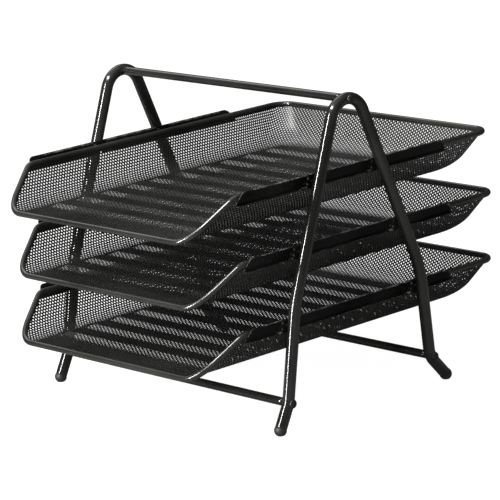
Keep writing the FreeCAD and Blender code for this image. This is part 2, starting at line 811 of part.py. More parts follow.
desk = desk_block()
for side_name, side in SIDES.items():
    for leg in LEGS:
        label = "%s_%s_foot_cap" % (leg, side_name)
        pieces[label] = foot_cap(label, leg, side, desk)
doc.recompute()

for tier in TIERS:
    pieces[tier + "_tray_hook_studs"] = hook_studs(tier)
doc.recompute()

for tier in TIERS:
    label = tier + "_tray_mesh_pan"
    pieces[label] = mesh_pan(label, tier)
    label = tier + "_tray_rim"
    pieces[label] = rim_wire(label, tier)
    for side_name, side in SIDES.items():
        label = "%s_tray_%s_side_plate" % (tier, side_name)
        pieces[label] = side_plate(label, side, tier)
doc.recompute()

# ---------------------------------------------------------------- validation and export
for obj in doc.Objects:
    faults = [state for state in obj.State if state in ("Invalid", "Error")]
    if faults:
        raise RuntimeError("%s is %s" % (obj.Name, faults))
for label, obj in pieces.items():
    obj.Label = label
    if obj.Label != label:
        raise RuntimeError("label %s was taken" % label)
    if obj.Shape.isNull() or not obj.Shape.isValid():
        raise RuntimeError("%s has no valid shape" % label)
    if not obj.Shape.Solids:
        raise RuntimeError("%s has no solid" % label)

os.makedirs("parts", exist_ok=True)
for label, obj in pieces.items():
    obj.Shape.exportStep("parts/%s.step" % label)
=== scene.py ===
"""Three-tier tray stand in black enamelled steel: two bent tube side frames joined by crossbars,
carrying three perforated trays with wire rims and hooked side plates.

The scene is in metres; sizes here are in millimetres unless a comment says otherwise.
+X is the stand's right, -Y its front, +Z up, and the feet stand on z = 0.
"""
import bpy
import bmesh
import json
import math
import numpy as np
from mathutils import Vector, Matrix

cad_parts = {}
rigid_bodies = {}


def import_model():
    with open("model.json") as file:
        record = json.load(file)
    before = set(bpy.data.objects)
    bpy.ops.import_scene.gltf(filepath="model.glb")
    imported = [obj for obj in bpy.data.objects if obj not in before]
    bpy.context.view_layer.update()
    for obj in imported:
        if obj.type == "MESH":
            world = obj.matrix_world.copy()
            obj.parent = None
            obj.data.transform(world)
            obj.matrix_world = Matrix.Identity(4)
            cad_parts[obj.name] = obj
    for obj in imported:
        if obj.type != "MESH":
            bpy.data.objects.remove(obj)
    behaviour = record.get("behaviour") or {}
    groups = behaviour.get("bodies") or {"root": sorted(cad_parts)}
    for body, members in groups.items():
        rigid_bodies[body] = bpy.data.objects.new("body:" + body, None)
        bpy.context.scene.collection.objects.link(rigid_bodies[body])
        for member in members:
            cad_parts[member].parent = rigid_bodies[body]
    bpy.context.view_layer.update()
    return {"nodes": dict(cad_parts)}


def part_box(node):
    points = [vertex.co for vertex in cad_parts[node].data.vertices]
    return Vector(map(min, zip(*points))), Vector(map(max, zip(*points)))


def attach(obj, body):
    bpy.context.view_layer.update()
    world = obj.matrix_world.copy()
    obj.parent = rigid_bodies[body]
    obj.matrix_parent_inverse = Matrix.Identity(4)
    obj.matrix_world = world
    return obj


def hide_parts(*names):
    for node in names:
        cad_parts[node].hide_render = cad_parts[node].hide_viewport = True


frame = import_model()

MM = 0.001  # metres in a millimetre
TIERS = ("top", "middle", "bottom")
SIDES = ((-1, "left"), (1, "right"))


def box_mm(node):
    low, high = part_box(node)
    return np.array(low) / MM, np.array(high) / MM


# ------------------------------------------------------------------ driving sizes
# Tray rim: a closed wire, level at the top and dropping to the floor at the front
RIM_WIRE_R = 2.65
rim_low, rim_high = box_mm("top_tray_rim")
RIM_HALF = rim_high[0] - RIM_WIRE_R
RIM_TALL = rim_high[2] - rim_low[2] - 2 * RIM_WIRE_R
RIM_LENGTH = rim_high[1] - rim_low[1] - 2 * RIM_WIRE_R
RIM_BEND_R = 12.0
RIM_CORNER_R = 16.0
FRONT_SLOPE = 40.3 / 32.1  # how far the front edge runs back for each unit it rises

# Tray pan: flat floor, rounded bend, slanted walls
FLOOR_HALF = 99.0
FLOOR_BACK = RIM_LENGTH - (RIM_HALF - FLOOR_HALF)
WALL_BEND_R = 25.0
WALL_ANGLE = math.radians(62.0)

# Side frame tubes and crossbars
tube_low, tube_high = box_mm("right_side_frame")
TUBE_R = (tube_high[0] - tube_low[0]) / 2
TUBE_X = (tube_high[0] + tube_low[0]) / 2
bar_low, bar_high = box_mm("top_crossbar")
BAR_R = (bar_high[2] - bar_low[2]) / 2
BAR_END_X = TUBE_X - TUBE_R + 0.7
APEX_Z = (bar_low[2] + bar_high[2]) / 2

# Bent tube outline as (y, z); its y is measured from a datum OUTLINE_SHIFT behind the scene's
APEX_OUTLINE_Y = 165.5
OUTLINE_SHIFT = APEX_OUTLINE_Y - (bar_low[1] + bar_high[1]) / 2
APEX_R = 20.0
APEX_CENTRE = (APEX_OUTLINE_Y, APEX_Z - APEX_R)
KNEE_R, ANKLE_R = 120.0, 20.0
LEGS = {
    "front": {"knee": (91.8, 106.0), "ankle": (77.3, 25.5), "foot": (66.3, 4.6)},
    "rear": {"knee": (244.3, 106.0), "ankle": (250.8, 25.5), "foot": (270.0, 4.6)},
}


def tray_origin(tier):
    """Middle of the rim wire's front edge; tray shapes are drawn from here."""
    low, _ = box_mm(tier + "_tray_rim")
    return np.array([0.0, low[1] + RIM_WIRE_R, low[2] + RIM_WIRE_R])


# ------------------------------------------------------------------ mesh helpers
def link_object(name, mesh):
    obj = bpy.data.objects.new(name, mesh)
    bpy.context.scene.collection.objects.link(obj)
    return obj


def new_object(name, verts, faces):
    """A smooth-shaded object from points in millimetres."""
    mesh = bpy.data.meshes.new(name)
    mesh.from_pydata((np.asarray(verts, dtype=np.float64) * MM).tolist(), [], faces)
    mesh.validate()
    mesh.update()
    mesh.polygons.foreach_set("use_smooth", [True] * len(mesh.polygons))
    return link_object(name, mesh)


def bulk_object(name, verts, quads, tris):
    """A flat-shaded object from large arrays of quads and triangles."""
    mesh = bpy.data.meshes.new(name)
    quad_count, tri_count = len(quads), len(tris)
    corners = np.concatenate([quads.ravel(), tris.ravel()]).astype(np.int32)
    starts = np.concatenate([
        np.arange(0, quad_count * 4, 4), quad_count * 4 + np.arange(0, tri_count * 3, 3)])
    totals = np.concatenate([np.full(quad_count, 4), np.full(tri_count, 3)])
    mesh.vertices.add(len(verts))
    mesh.vertices.foreach_set("co", (np.asarray(verts, dtype=np.float32) * MM).ravel())
    mesh.loops.add(len(corners))
    mesh.loops.foreach_set("vertex_index", corners)
    mesh.polygons.add(quad_count + tri_count)
    mesh.polygons.foreach_set("loop_start", starts.astype(np.int32))
    mesh.polygons.foreach_set("loop_total", totals.astype(np.int32))
    mesh.polygons.foreach_set("use_smooth", np.full(quad_count + tri_count, False))
    mesh.update(calc_edges=True)
    return link_object(name, mesh)


def fix_normals(obj):
    edit = bmesh.new()
    edit.from_mesh(obj.data)
    bmesh.ops.recalc_face_normals(edit, faces=edit.faces)
    edit.to_mesh(obj.data)
    edit.free()


def unit(vector):
    return vector / np.linalg.norm(vector)


def smoothstep(share):
    return share * share * (3 - 2 * share)


def sweep(name, path, radius, segments, closed=False):
    """A round rod along a path; each ring's normal is carried on from the last."""
    path = np.asarray(path, dtype=float)
    count = len(path)
    if closed:
        tangents = np.roll(path, -1, axis=0) - np.roll(path, 1, axis=0)
    else:
        tangents = np.gradient(path, axis=0)
    tangents /= np.linalg.norm(tangents, axis=1)[:, None]
    up = np.array([0.0, 0.0, 1.0] if abs(tangents[0][2]) < 0.8 else [1.0, 0.0, 0.0])

    def carry(normal, tangent):
        return unit(normal - tangent * np.dot(normal, tangent))

    normals = [unit(np.cross(tangents[0], up))]
    for i in range(1, count):
        normals.append(carry(normals[-1], tangents[i]))
    normals = np.array(normals)
    if closed:  # spread the leftover twist over the loop
        closing = carry(normals[-1], tangents[0])
        first_side = np.cross(tangents[0], normals[0])
        twist = math.atan2(np.dot(closing, first_side), np.dot(closing, normals[0]))
        for i in range(count):
            angle = -twist * i / count
            sideways = np.cross(tangents[i], normals[i])
            normals[i] = normals[i] * math.cos(angle) + sideways * math.sin(angle)
    sideways = np.cross(tangents, normals)
    angles = np.linspace(0, 2 * math.pi, segments, endpoint=False)[None, :, None]
    rings = normals[:, None, :] * np.cos(angles) + sideways[:, None, :] * np.sin(angles)
    verts = (path[:, None, :] + rings * radius).reshape(-1, 3)

    faces = []
    for i in range(count if closed else count - 1):
        here, there = i * segments, ((i + 1) % count) * segments
        for j in range(segments):
            k = (j + 1) % segments
            faces.append((here + j, here + k, there + k, there + j))
    if not closed:
        faces.append(tuple(reversed(range(segments))))
        faces.append(tuple(range((count - 1) * segments, count * segments)))
    obj = new_object(name, verts, faces)
    if not closed:
        for cap in obj.data.polygons[-2:]:
            cap.use_smooth = False
    fix_normals(obj)
    return obj


def lathe(name, outline, origin, axis, segments, shape=None):
    """Revolves (distance along axis, radius) pairs, the last of which may lie on the axis.

    shape(i, angle) may scale the radius of ring i.
    """
    turn = Vector(axis).normalized().to_track_quat("Z", "Y").to_matrix()
    verts, rings = [], []
    for i, (height, radius) in enumerate(outline):
        start = len(verts)
        if radius < 1e-6:
            verts.append(Vector(origin) + turn @ Vector((0, 0, height)))
        else:
            for j in range(segments):
                angle = 2 * math.pi * j / segments
                r = radius * (shape(i, angle) if shape else 1.0)
                point = Vector((r * math.cos(angle), r * math.sin(angle), height))
                verts.append(Vector(origin) + turn @ point)
        rings.append(range(start, len(verts)))
    faces = []
    for here, there in zip(rings, rings[1:]):
        for j in range(segments):
            k = (j + 1) % segments
            if len(there) == 1:
                faces.append((here[j], here[k], there[0]))
            else:
                faces.append((here[j], here[k], there[k], there[j]))
    return new_object(name, [tuple(point) for point in verts], faces)


def join(name, objects):
    for other in bpy.context.view_layer.objects:
        other.select_set(False)
    for part in objects:
        part.select_set(True)
    bpy.context.view_layer.objects.active = objects[0]
    bpy.ops.object.join()
    objects[0].name = name
    objects[0].data.name = name
    return objects[0]


def apply_modifiers(obj):
    graph = bpy.context.evaluated_depsgraph_get()
    mesh = bpy.data.meshes.new_from_object(obj.evaluated_get(graph), depsgraph=graph)
    obj.modifiers.clear()
    old = obj.data
    obj.data = mesh
    bpy.data.meshes.remove(old)


# ------------------------------------------------------------------ materials
class Graph:
    """A cleared shader tree with its output node and short helpers."""

    def __init__(self, owner, output_kind):
        owner.use_nodes = True
        self.tree = owner.node_tree
        self.tree.nodes.clear()
        self.output = self.node(output_kind)

    def node(self, kind, **settings):
        node = self.tree.nodes.new(kind)
        for key, value in settings.items():
            setattr(node, key, value)
        return node

    def feed(self, socket, value):
        """Links an output socket, or sets a plain value."""
        if isinstance(value, bpy.types.NodeSocket):
            self.tree.links.new(value, socket)
        else:
            socket.default_value = value

    def remap(self, value, over, to, interpolation="LINEAR"):
        node = self.node("ShaderNodeMapRange", interpolation_type=interpolation)
        limits = {"From Min": over[0], "From Max": over[1], "To Min": to[0], "To Max": to[1]}
        for key, limit in limits.items():
            node.inputs[key].default_value = limit
        self.feed(node.inputs["Value"], value)
        return node.outputs["Result"]

    def math(self, operation, first, second):
        node = self.node("ShaderNodeMath", operation=operation)
        self.feed(node.inputs[0], first)
        self.feed(node.inputs[1], second)
        return node.outputs[0]


class Surface(Graph):
    """A material around one Principled shader."""

    def __init__(self, name):
        self.material = bpy.data.materials.new(name)
        super().__init__(self.material, "ShaderNodeOutputMaterial")
        self.shader = self.node("ShaderNodeBsdfPrincipled")
        self.feed(self.output.inputs[0], self.shader.outputs[0])
        self.coords = self.node("ShaderNodeTexCoord")

    def set(self, key, value):
        self.feed(self.shader.inputs[key], value)

    def noise(self, scale, detail=3.0, roughness=0.55):
        node = self.node("ShaderNodeTexNoise")
        node.inputs["Scale"].default_value = scale
        node.inputs["Detail"].default_value = detail
        node.inputs["Roughness"].default_value = roughness
        self.feed(node.inputs["Vector"], self.coords.outputs["Object"])
        return node.outputs["Fac"]

    def mix(self, share, first, second):
        node = self.node("ShaderNodeMix", data_type="RGBA")
        self.feed(node.inputs[0], share)
        self.feed(node.inputs[6], first)
        self.feed(node.inputs[7], second)
        return node.outputs[2]


def shade(base, gain, lift=0.0):
    return tuple(min(1.0, c * gain + lift) for c in base) + (1.0,)


def grey(level):
    return (level, level, level, 1.0)


# Paler edge colour: worn metal, also used to paint an edge highlight
WORN_METAL_EDGE_HIGHLIGHT = (0.16, 0.155, 0.14, 1.0)


def powder_coat(name, base, rough, peel, wear_and_edge_highlight=0.0, metallic=0.0, specular=0.5, coat=0.0):
    """Satin enamel: slight tone drift, fine specks, orange peel, and paler edges that are partly
    worn and partly a painted edge highlight.
    """
    s = Surface(name)
    drift = s.noise(scale=14.0, detail=2.0)
    specks = s.noise(scale=240.0)
    colour = s.mix(s.remap(drift, over=(0.35, 0.65), to=(0.0, 1.0)),
                   shade(base, gain=0.72), shade(base, gain=1.5, lift=0.004))
    colour = s.mix(s.remap(specks, over=(0.62, 0.72), to=(0.0, 0.35)),
                   colour, shade(base, gain=2.0, lift=0.01))
    roughness = s.remap(s.noise(scale=60.0, detail=4.0), over=(0.3, 0.7), to=rough)
    if wear_and_edge_highlight:  # edges paint paler and smoother in patches, partly as real edge abrasion and partly as a painted highlight
        geometry = s.node("ShaderNodeNewGeometry")
        edge = s.remap(geometry.outputs["Pointiness"], over=(0.53, 0.60), to=(0.0, 1.0))
        scuff = s.remap(s.noise(scale=95.0, detail=5.0, roughness=0.7),
                        over=(0.45, 0.62), to=(0.15, 1.0))
        rubbed_and_highlighted = s.math("MULTIPLY", s.math("MULTIPLY", edge, scuff), wear_and_edge_highlight)
        colour = s.mix(rubbed_and_highlighted, colour, WORN_METAL_EDGE_HIGHLIGHT)
        roughness = s.math("SUBTRACT", roughness, s.math("MULTIPLY", rubbed_and_highlighted, 0.12))
    s.set("Base Color", colour)
    s.set("Roughness", roughness)
    s.set("Metallic", metallic)
    s.set("Specular IOR Level", specular)
    if coat:
        s.set("Coat Weight", coat)
        s.set("Coat Roughness", 0.12)
    bump = s.node("ShaderNodeBump")
    bump.inputs["Strength"].default_value = peel
    bump.inputs["Distance"].default_value = 0.0004
    fine = s.noise(scale=900.0, detail=2.0)
    coarse = s.math("MULTIPLY", s.noise(scale=260.0, detail=2.0), 0.6)
    s.feed(bump.inputs["Height"], s.math("ADD", fine, coarse))
    s.set("Normal", bump.outputs["Normal"])
    return s.material


MATERIALS = {
    "tube": powder_coat("tube_powder_coat", base=(0.0062, 0.0064, 0.0054),
                        rough=(0.14, 0.20), peel=0.015, coat=0.4),
    "rim": powder_coat("rim_powder_coat", base=(0.0100, 0.0103, 0.0084),
                       rough=(0.18, 0.26), peel=0.015, coat=0.3),
    "mesh": powder_coat("mesh_powder_coat", base=(0.0052, 0.0053, 0.0046),
                        rough=(0.30, 0.40), peel=0.02),
    # On the plates the paler edges serve largely as a painted highlight along the sheet's edges
    "plate": powder_coat("plate_powder_coat", base=(0.0020, 0.0021, 0.0019),
                         rough=(0.20, 0.28), peel=0.03, wear_and_edge_highlight=1.0, specular=0.06),
    "screw": powder_coat("screw_black_oxide", base=(0.020, 0.020, 0.019),
                         rough=(0.16, 0.26), peel=0.03, wear_and_edge_highlight=0.9, metallic=0.6),
    "stud": powder_coat("stud_black_oxide", base=(0.030, 0.030, 0.028),
                        rough=(0.30, 0.42), peel=0.04, metallic=0.5),
    "foot": powder_coat("foot_moulded_plastic", base=(0.012, 0.012, 0.012),
                        rough=(0.42, 0.58), peel=0.12),
}


def paint(obj, finish):
    obj.data.materials.clear()
    obj.data.materials.append(MATERIALS[finish])


def dress(obj, finish, body, node):
    """Paints a piece, ties it to its body and puts it in place of a CAD node."""
    paint(obj, finish)
    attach(obj, body)
    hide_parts(node)


# ------------------------------------------------------------------ side frames
def corner_arc(before, corner, after, radius, steps):
    """Points of the arc that rounds a corner, in two or three dimensions."""
    before, corner, after = (np.array(p, dtype=float) for p in (before, corner, after))
    back, onward = unit(before - corner), unit(after - corner)
    half = math.acos(max(-1, min(1, float(np.dot(back, onward))))) / 2
    centre = corner + unit(back + onward) * radius / math.sin(half)
    start = corner + back * radius / math.tan(half) - centre
    end = corner + onward * radius / math.tan(half) - centre
    angle = math.acos(max(-1, min(1, float(np.dot(start, end) / radius / radius))))
    points = []
    for i in range(steps + 1):
        share = i / steps
        mixed = start * math.sin((1 - share) * angle) + end * math.sin(share * angle)
        points.append(centre + mixed / math.sin(angle))
    return points


def leg_line(which):
    """One leg from the apex down to its foot."""
    knee, ankle, foot = (LEGS[which][key] for key in ("knee", "ankle", "foot"))
    to_y, to_z = APEX_CENTRE[0] - knee[0], APEX_CENTRE[1] - knee[1]
    distance = math.hypot(to_y, to_z)
    # the thigh runs from the knee to touch the apex circle
    lean = math.asin(APEX_R / distance) * (1 if which == "front" else -1)
    heading = math.atan2(to_z, to_y) + lean
    reach = math.sqrt(distance * distance - APEX_R * APEX_R)
    touch = (knee[0] + reach * math.cos(heading), knee[1] + reach * math.sin(heading))
    start = math.pi / 2
    end = math.atan2(touch[1] - APEX_CENTRE[1], touch[0] - APEX_CENTRE[0])
    points = []
    for i in range(21):
        angle = start + (end - start) * i / 20
        points.append((APEX_CENTRE[0] + APEX_R * math.cos(angle),
                       APEX_CENTRE[1] + APEX_R * math.sin(angle)))
    points += corner_arc(touch, knee, ankle, KNEE_R, 24)
    points += corner_arc(knee, ankle, foot, ANKLE_R, 12)
    points.append(foot)
    return points


def densify(points, step):
    """Splits long stretches and drops points that nearly coincide."""
    points = [np.array(p, dtype=float) for p in points]
    dense = [points[0]]
    for here, there in zip(points, points[1:]):
        count = max(1, int(math.ceil(np.linalg.norm(there - here) / step)))
        for i in range(1, count + 1):
            dense.append(here + (there - here) * i / count)
    kept = [dense[0]]
    for point in dense[1:]:
        if np.linalg.norm(point - kept[-1]) > 0.05:
            kept.append(point)
    return kept


def side_frames():
    outline = densify(list(reversed(leg_line("front"))) + leg_line("rear")[1:], step=4.0)
    for side, side_name in SIDES:
        path = [(side * TUBE_X, y - OUTLINE_SHIFT, z) for y, z in outline]
        tube = sweep(side_name + "_bent_tube", path, TUBE_R, segments=36)
        dress(tube, "tube", "frame", side_name + "_side_frame")


side_frames()

# ------------------------------------------------------------------ crossbars, screws, feet
HEAD_R = 3.9
# Screw profile: (distance out from the seat, radius)
HEAD_PROFILE = [
    (-1.6, 1.95), (-0.1, 1.95), (-0.1, HEAD_R - 0.15), (0.05, HEAD_R), (0.35, HEAD_R),
    (0.9, HEAD_R * 0.955), (1.45, HEAD_R * 0.84), (1.9, HEAD_R * 0.68), (2.2, HEAD_R * 0.50),
    (2.3, 1.45), (2.25, 1.33), (0.9, 1.28), (0.75, 0.0),
]
SOCKET_RINGS = (9, 10, 11)

FOOT_R = 5.5
# Foot cap profile above its dome: (distance up the leg, radius)
FOOT_COLLAR = [(3.0, 4.2), (1.1, 4.2), (1.1, 5.2), (1.0, FOOT_R - 0.08), (0.8, FOOT_R),
               (0.15, FOOT_R), (0.0, FOOT_R - 0.03)]
DOME_STEPS = 14


def socket_shape(ring, angle):
    """Makes the rings of the screw socket six-sided."""
    if ring not in SOCKET_RINGS:
        return 1.0
    return 1.0 / math.cos(angle % (math.pi / 3) - math.pi / 6) * 0.95


def crossbar(tag):
    low, high = box_mm(tag + "_crossbar")
    y, z = (low[1] + high[1]) / 2, (low[2] + high[2]) / 2
    path = [(-BAR_END_X + 2 * BAR_END_X * i / 60, y, z) for i in range(61)]
    rod = sweep(tag + "_cross_rod", path, BAR_R, segments=32)
    dress(rod, "tube", "frame", tag + "_crossbar")

    heads = []
    for side, _ in SIDES:
        seat = (side * (TUBE_X + TUBE_R - 0.1), y, z)
        heads.append(lathe(f"{tag}_head_{side}", HEAD_PROFILE, seat, (side, 0, 0),
                           segments=48, shape=socket_shape))
    screws = join(tag + "_bar_button_screws", heads)
    fix_normals(screws)
    dress(screws, "screw", "frame", tag + "_crossbar_screws")


def foot_cap(side, side_name, which):
    foot, ankle = LEGS[which]["foot"], LEGS[which]["ankle"]
    profile = list(FOOT_COLLAR)
    for i in range(1, DOME_STEPS):
        angle = math.radians(90 * i / DOME_STEPS)
        profile.append((-FOOT_R * math.sin(angle), FOOT_R * math.cos(angle)))
    profile.append((-FOOT_R, 0.0))
    up_leg = unit(np.array([0.0, ankle[0] - foot[0], ankle[1] - foot[1]]))
    cap = lathe(f"{which}_{side_name}_rubber_foot", profile,
                (side * TUBE_X, foot[0] - OUTLINE_SHIFT, foot[1]), up_leg, segments=40)
    for vert in cap.data.vertices:  # flatten the dome on the ground
        if vert.co.z < 0.0:
            vert.co.z = 0.0
    fix_normals(cap)
    dress(cap, "foot", "frame", f"{which}_{side_name}_foot_cap")


for tag in ("top", "front", "rear"):
    crossbar(tag)
for side, side_name in SIDES:
    for which in LEGS:
        foot_cap(side, side_name, which)
for tier in TIERS:  # the CAD studs stay and are only painted
    paint(frame["nodes"][tier + "_tray_hook_studs"], "stud")

# ------------------------------------------------------------------ pan shape
# The wall's section, measured outwards over the sheet from the floor's edge
BEND_LENGTH = WALL_BEND_R * WALL_ANGLE
WALL_RUN = (RIM_HALF - FLOOR_HALF) - WALL_BEND_R * math.sin(WALL_ANGLE)
WALL_RISE = RIM_TALL - WALL_BEND_R * (1 - math.cos(WALL_ANGLE))
WALL_LENGTH = math.hypot(WALL_RUN, WALL_RISE)
SECTION_LENGTH = BEND_LENGTH + WALL_LENGTH

# The two back corners are mapped on their own, from this far inside the floor's edges
CORNER_INSET = 30.0
CORNER_X, CORNER_Y = FLOOR_HALF - CORNER_INSET, FLOOR_BACK - CORNER_INSET

# Ribs across the floor
RIB_START, RIB_PITCH, RIB_COUNT = 31.3, 28.9, 10
RIB_HEIGHT = 2.2
RIB_RISE_SHARE = 0.30
RIB_ROUNDING = 1.2


def wall_section(depth):
    """Run and rise at a distance out over the sheet."""
    depth = np.clip(depth, 0.0, SECTION_LENGTH + 3)
    angle = np.minimum(depth, BEND_LENGTH) / WALL_BEND_R
    share = np.maximum(depth - BEND_LENGTH, 0.0) / WALL_LENGTH
    return (WALL_BEND_R * np.sin(angle) + share * WALL_RUN,
            WALL_BEND_R * (1 - np.cos(angle)) + share * WALL_RISE)


def corner_radius(depth):
    return np.interp(depth, [0, BEND_LENGTH * 0.5, BEND_LENGTH, SECTION_LENGTH],
                     [26.0, 24.5, 21.0, RIM_CORNER_R])


def rib_wave(y):
    """Lopsided wave: a short rise towards the back, then a long fall; turns rounded."""

    def saw(at):
        phase = (at - RIB_START) / RIB_PITCH
        phase = phase - np.floor(phase)
        return np.where(phase < RIB_RISE_SHARE, phase / RIB_RISE_SHARE,
                        (1 - phase) / (1 - RIB_RISE_SHARE))

    return (saw(y - RIB_ROUNDING) + 2 * saw(y) + saw(y + RIB_ROUNDING)) / 4


def rib_height(x, y):
    side_fade = smoothstep(np.clip((102.0 - np.abs(x)) / 9.0, 0, 1))
    last = RIB_START + RIB_PITCH * RIB_COUNT
    end_fade = np.clip((y - 29.6) / 1.6, 0, 1) * np.clip((last - y) / 2.0, 0, 1)
    return RIB_HEIGHT * rib_wave(y) * side_fade * end_fade


def corner_gap(across, along, depth):
    """Signed distance outside the rounded square that lies at a depth."""
    radius = corner_radius(depth)
    straight = CORNER_INSET + depth - radius
    over_x, over_y = across - straight, along - straight
    outside = np.hypot(np.maximum(over_x, 0), np.maximum(over_y, 0))
    return outside + np.minimum(np.maximum(over_x, over_y), 0) - radius


def corner_depth(across, along, limit):
    """Depth whose rounded square passes through the point, by halving 0..limit."""
    near, far = np.zeros_like(across), np.full_like(across, limit)
    for _ in range(34):
        middle = (near + far) / 2
        outside = corner_gap(across, along, middle) > 0
        near, far = np.where(outside, middle, near), np.where(outside, far, middle)
    return near


def map_corner(across, along):
    """Pan x, y, z of blank points in a corner, x and y from the corner's origin."""
    depth = corner_depth(across, along, limit=90.0)
    radius = corner_radius(depth)
    quarter = math.pi * radius / 2
    straight = CORNER_INSET + depth - radius
    over_x, over_y = across - straight, along - straight
    # distance around the rounded square in the blank ...
    past_arc = straight + quarter + np.maximum(straight - across, 0)
    on_arc = straight + radius * np.arctan2(np.maximum(over_y, 0), np.maximum(over_x, 1e-9))
    around = np.where(over_y <= 0, along, np.where(over_x <= 0, past_arc, on_arc))
    # ... taken in proportion around the one in the pan
    run, rise = wall_section(np.minimum(depth, SECTION_LENGTH + 1.0))
    pan_half = CORNER_INSET + run
    pan_straight = pan_half - radius
    pan_length = 2 * pan_straight + quarter
    around = around / (2 * straight + quarter) * pan_length
    angle = (around - pan_straight) / radius
    before_arc, in_arc = around < pan_straight, around < pan_straight + quarter
    x = np.where(before_arc, pan_half, np.where(
        in_arc, pan_straight + radius * np.cos(angle), pan_length - around))
    y = np.where(before_arc, around, np.where(
        in_arc, pan_straight + radius * np.sin(angle), pan_half))
    flat = corner_gap(across, along, 0.0) <= 0
    return np.where(flat, across, x), np.where(flat, along, y), np.where(flat, 0.0, rise)


def pan_map(u, v):
    """Flat blank (u across, v from the front edge) to the pressed pan."""
    sign = np.where(u < 0, -1.0, 1.0)
    out = np.abs(u)
    x, y, z = out.copy(), v.copy(), np.zeros_like(u)
    across, along = out - CORNER_X, v - CORNER_Y
    wall = (along <= 0) & (out > FLOOR_HALF)
    run, z[wall] = wall_section(out[wall] - FLOOR_HALF)
    x[wall] = FLOOR_HALF + run
    wall = (across <= 0) & (v > FLOOR_BACK)
    run, z[wall] = wall_section(v[wall] - FLOOR_BACK)
    y[wall] = FLOOR_BACK + run
    corner = (across > 0) & (along > 0)
    corner_x, corner_y, z[corner] = map_corner(across[corner], along[corner])
    x[corner] = CORNER_X + corner_x
    y[corner] = CORNER_Y + corner_y
    return np.stack([x * sign, y, z + rib_height(x, y)], axis=-1)


def blank_depth(u, v):
    """How far out on the wall a blank point is (0 on the floor)."""
    across, along = np.abs(u) - CORNER_X, v - CORNER_Y
    depth = np.zeros_like(u)
    beside = along <= 0
    depth[beside] = np.maximum(np.abs(u[beside]) - FLOOR_HALF, 0)
    behind = (across <= 0) & (along > 0)
    depth[behind] = np.maximum(v[behind] - FLOOR_BACK, 0)
    corner = (across > 0) & (along > 0)
    depth[corner] = corner_depth(across[corner], along[corner], limit=120.0)
    return depth


# ------------------------------------------------------------------ perforated mesh
HOLE_PITCH = 3.1  # along a row, front to back
ROW_PITCH = 2.6  # from row to row, across
HOLE_SHARE = 0.54  # hole size as a share of its cell
SKIN = 0.46  # sheet thickness
EDGE_OVERLAP = 0.9  # the sheet runs this far under the rim
ROWS_EACH_SIDE, COLUMN_RANGE = 62, (-2, 136)
# Cell corners as shares of (row pitch, hole pitch)
CELL = [(2 / 3, 0), (1 / 3, 1 / 2), (-1 / 3, 1 / 2), (-2 / 3, 0), (-1 / 3, -1 / 2),
        (1 / 3, -1 / 2)]
# Steps to a neighbouring cell: rows, columns
NEIGHBOURS = {"on": (0, 1), "next_on": (1, 0), "next_back": (1, -1)}
# Bridge quads: neighbour, then corners of this cell, neighbour, neighbour, this cell
BRIDGES = [("on", 1, 5, 4, 2), ("next_on", 0, 4, 3, 1), ("next_back", 5, 3, 2, 0)]
# Triangles where three cells meet: own corner, then two of neighbour, corner
JUNCTIONS = [(0, "next_back", 2, "next_on", 4), (1, "next_on", 3, "on", 5)]
# Pieces of the mesh by distance from the front edge over the blank
PIECES = [("front", -10.0, 118.0), ("middle", 118.0, 238.0), ("back", 238.0, 1000.0)]


def pan_normals(u, v, step=0.35):
    normals = np.cross(pan_map(u + step, v) - pan_map(u - step, v),
                       pan_map(u, v + step) - pan_map(u, v - step))
    lengths = np.linalg.norm(normals, axis=1)
    normals[lengths < 1e-6] = (0, 0, 1)
    return normals / np.maximum(lengths, 1e-6)[:, None]


def lattice():
    """Staggered six-sided holes in a thin sheet.

    Returns the blank's v, both skins' points, and the upper skin's quads and triangles.
    """
    row, column = np.meshgrid(np.arange(-ROWS_EACH_SIDE, ROWS_EACH_SIDE + 1),
                              np.arange(*COLUMN_RANGE), indexing="ij")
    cell_u = row * ROW_PITCH
    cell_v = (column + (row % 2) * 0.5) * HOLE_PITCH
    depth = blank_depth(cell_u, cell_v)
    _, rise = wall_section(depth)
    keep = ((depth < SECTION_LENGTH + EDGE_OVERLAP)
            & (cell_v > FRONT_SLOPE * rise - EDGE_OVERLAP))
    number = -np.ones(keep.shape, dtype=np.int64)
    number[keep] = np.arange(keep.sum())
    u = np.stack([cell_u[keep] + HOLE_SHARE * (x * ROW_PITCH) for x, _ in CELL], axis=1).ravel()
    v = np.stack([cell_v[keep] + HOLE_SHARE * (y * HOLE_PITCH) for _, y in CELL], axis=1).ravel()
    points = pan_map(u, v)
    offset = pan_normals(u, v) * SKIN / 2

    rows, columns = np.nonzero(keep)
    odd = row[rows, columns] % 2

    def neighbour(row_step, column_step):
        """Each kept cell's neighbour, or -1 where there is none."""
        to_row = rows + row_step
        to_column = columns + row_step * odd + column_step
        inside = ((to_row >= 0) & (to_row < number.shape[0])
                  & (to_column >= 0) & (to_column < number.shape[1]))
        found = -np.ones(len(rows), dtype=np.int64)
        found[inside] = number[to_row[inside], to_column[inside]]
        return found

    cells = np.arange(len(rows))
    near = {key: neighbour(*steps) for key, steps in NEIGHBOURS.items()}
    quads, tris = [], []
    for key, own_a, near_a, near_b, own_b in BRIDGES:
        has = near[key] >= 0
        own, other = cells[has] * 6, near[key][has] * 6
        quads.append(np.stack([own + own_a, other + near_a, other + near_b, own + own_b], axis=1))
    for own_corner, key_a, corner_a, key_b, corner_b in JUNCTIONS:
        has = (near[key_a] >= 0) & (near[key_b] >= 0)
        tris.append(np.stack([cells[has] * 6 + own_corner, near[key_a][has] * 6 + corner_a,
                              near[key_b][has] * 6 + corner_b], axis=1))
    return v, points + offset, points - offset, np.concatenate(quads), np.concatenate(tris)


